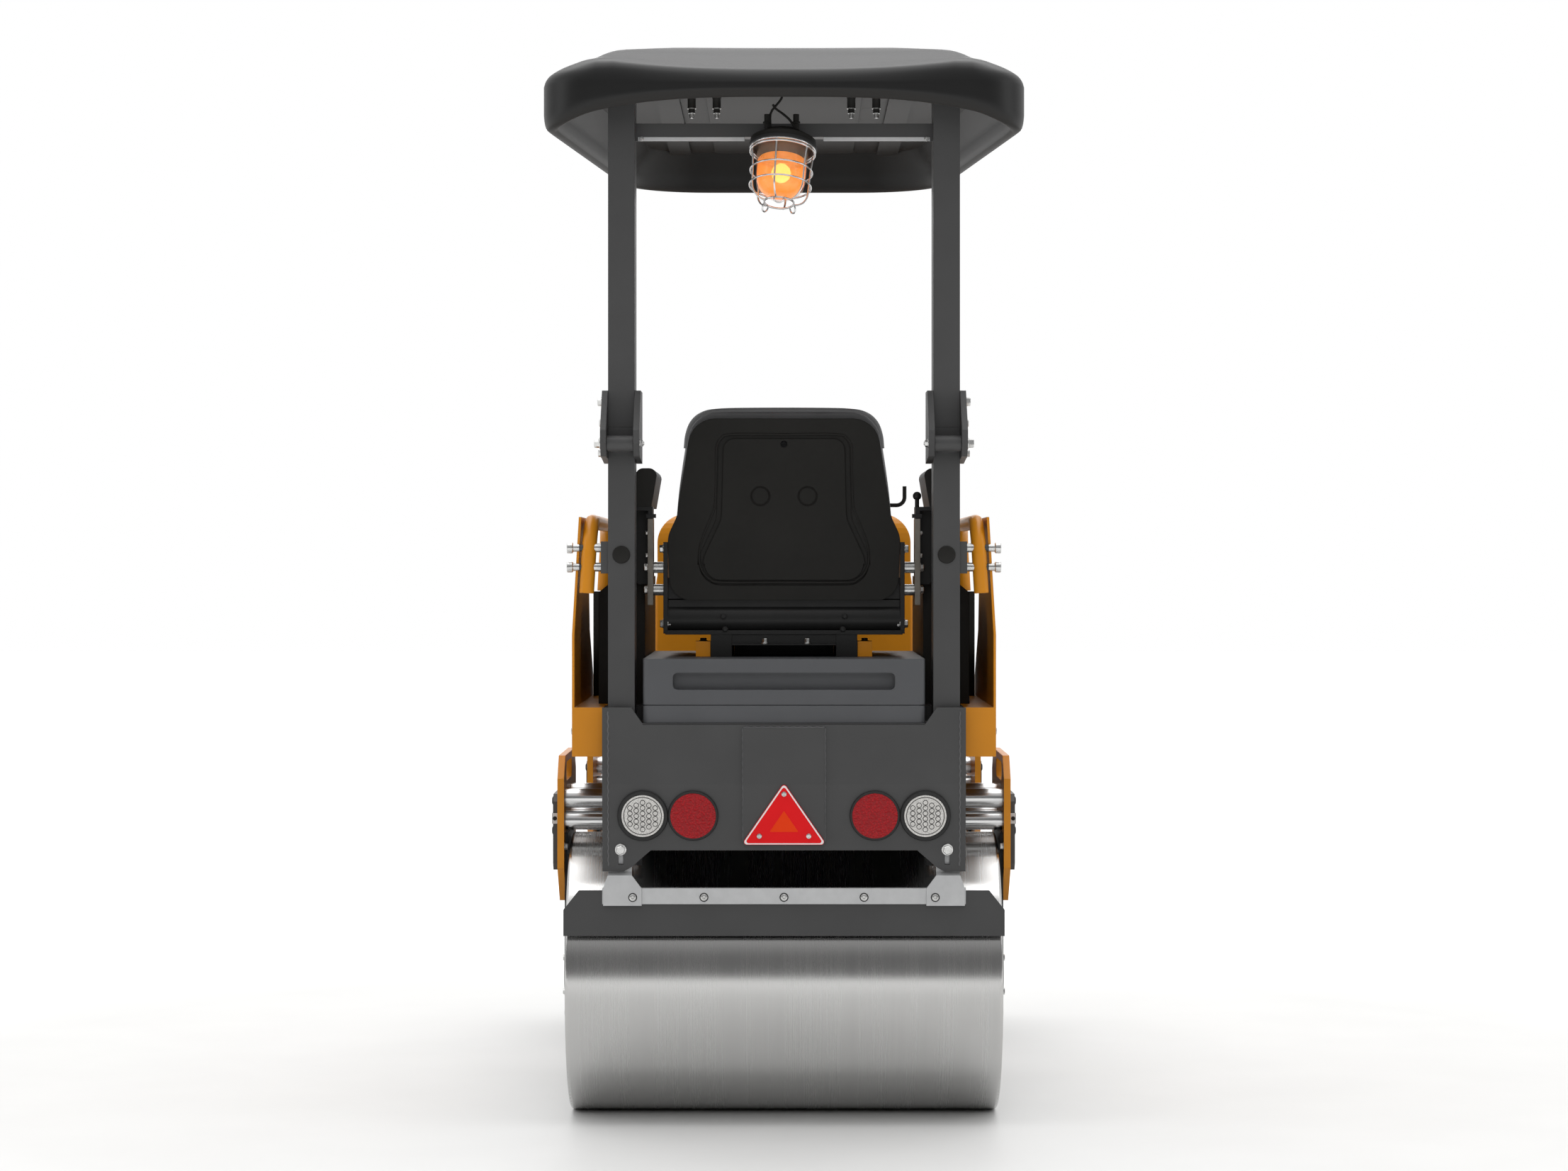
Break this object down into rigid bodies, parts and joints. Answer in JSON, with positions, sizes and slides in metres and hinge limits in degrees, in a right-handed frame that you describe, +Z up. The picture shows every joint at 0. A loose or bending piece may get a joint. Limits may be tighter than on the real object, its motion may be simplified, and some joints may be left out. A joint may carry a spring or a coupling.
{
  "type": "ride-on tandem road roller",
  "caption": "Small articulated tandem road roller with smooth steel drums, a seat over the rear drum, an engine hood and a folding roll bar with a moulded canopy.",
  "frame": {"origin": "on the ground, midway between the canopy's rear edge and the tow lug's tip, on the roller's middle plane", "axes": "+Z up, +Y forward (the way the operator faces), +X to the operator's right"},
  "size_m": [0.97, 2.0859, 2.2253],
  "materials": {
    "charcoal_paint": "satin",
    "yellow_paint": "semi-gloss",
    "black_steel": "satin",
    "drum_steel": "brushed round the drum",
    "bright_steel": "polished",
    "galvanised": "zinc plated",
    "black_plastic": "fine grain",
    "canopy_plastic": "satin moulded",
    "tank_plastic": "satin moulded",
    "seat_vinyl": "grained vinyl",
    "lamp_white": "clear lens",
    "reflector_red": "prismatic",
    "sign_red": "reflective",
    "amber_glass": "amber dome",
    "engine_iron": "painted casting"
  },
  "bodies": {
    "rear": {"rear_frame": "charcoal_paint", "rear_plate": "charcoal_paint", "warning_triangle": "sign_red", "reversing_lamps": "lamp_white", "tail_reflectors": "reflector_red", "water_tank": "tank_plastic", "seat_frame": "black_steel", "seat_cushion": "seat_vinyl", "seat_backrest": "seat_vinyl", "seat_shell": "black_plastic", "armrests": "black_plastic", "rops_lower_posts": "charcoal_paint", "side_panels": "yellow_paint", "grab_rails": "yellow_paint", "side_consoles": "black_plastic", "floor_deck": "charcoal_paint", "steering_column": "black_plastic", "rear_fork_plates": "yellow_paint", "rear_fork_tubes": "bright_steel", "rear_fork_caps": "charcoal_paint", "rear_axle_brackets": "black_steel", "rear_scraper_blade": "charcoal_paint", "rear_scraper_bar": "galvanised", "steer_barrel": "black_steel"},
    "rear_roller": {"rear_drum": "drum_steel"},
    "hand_wheel": {"steering_wheel": "black_plastic"},
    "roll_bar": {"rops_upper_frame": "charcoal_paint", "rops_hinge_plates": "charcoal_paint", "canopy": "canopy_plastic", "lamp_base": "black_plastic", "lamp_lens": "amber_glass", "lamp_cage": "bright_steel"},
    "front": {"front_frame": "charcoal_paint", "headlamps": "lamp_white", "front_fork_plates": "yellow_paint", "front_fork_tubes": "bright_steel", "front_fork_caps": "charcoal_paint", "front_axle_brackets": "black_steel", "front_scraper_blade": "charcoal_paint", "front_scraper_bar": "galvanised", "engine_block": "engine_iron"},
    "engine_hood": {"hood": "yellow_paint", "hood_grille": "black_plastic"},
    "front_roller": {"front_drum": "drum_steel"},
    "ram_rod": {"steer_rod": "bright_steel"}
  },
  "joints": [
    {"name": "rear_drum_spin", "type": "hinge", "parent": "rear", "child": "rear_roller", "pos_m": [0, -0.623, 0.29], "axis": [1, 0, 0], "continuous": true},
    {"name": "front_drum_spin", "type": "hinge", "parent": "front", "child": "front_roller", "pos_m": [0, 0.677, 0.29], "axis": [1, 0, 0], "continuous": true},
    {"name": "steering", "type": "hinge", "parent": "rear", "child": "front", "pos_m": [0, 0.027, 0.37], "axis": [0, 0, 1], "range_deg": [-30, 30]},
    {"name": "ram_slide", "type": "slide", "parent": "rear", "child": "ram_rod", "axis": [0, 1, 0], "range_m": [-0.062, 0.062]},
    {"name": "rops_fold", "type": "hinge", "parent": "rear", "child": "roll_bar", "pos_m": [0, -0.958, 1.387], "axis": [1, 0, 0], "range_deg": [0, 120]},
    {"name": "hood_tilt", "type": "hinge", "parent": "front", "child": "engine_hood", "pos_m": [0, 0.981, 0.777], "axis": [-1, 0, 0], "range_deg": [0, 60]},
    {"name": "wheel_spin", "type": "hinge", "parent": "rear", "child": "hand_wheel", "pos_m": [0, -0.06, 1.1], "axis": [0, -0.4226, 0.9063], "continuous": true}
  ],
  "couplings": [
    {"joint": "ram_slide", "follows": "steering", "m_per_rad": -0.1146}
  ]
}
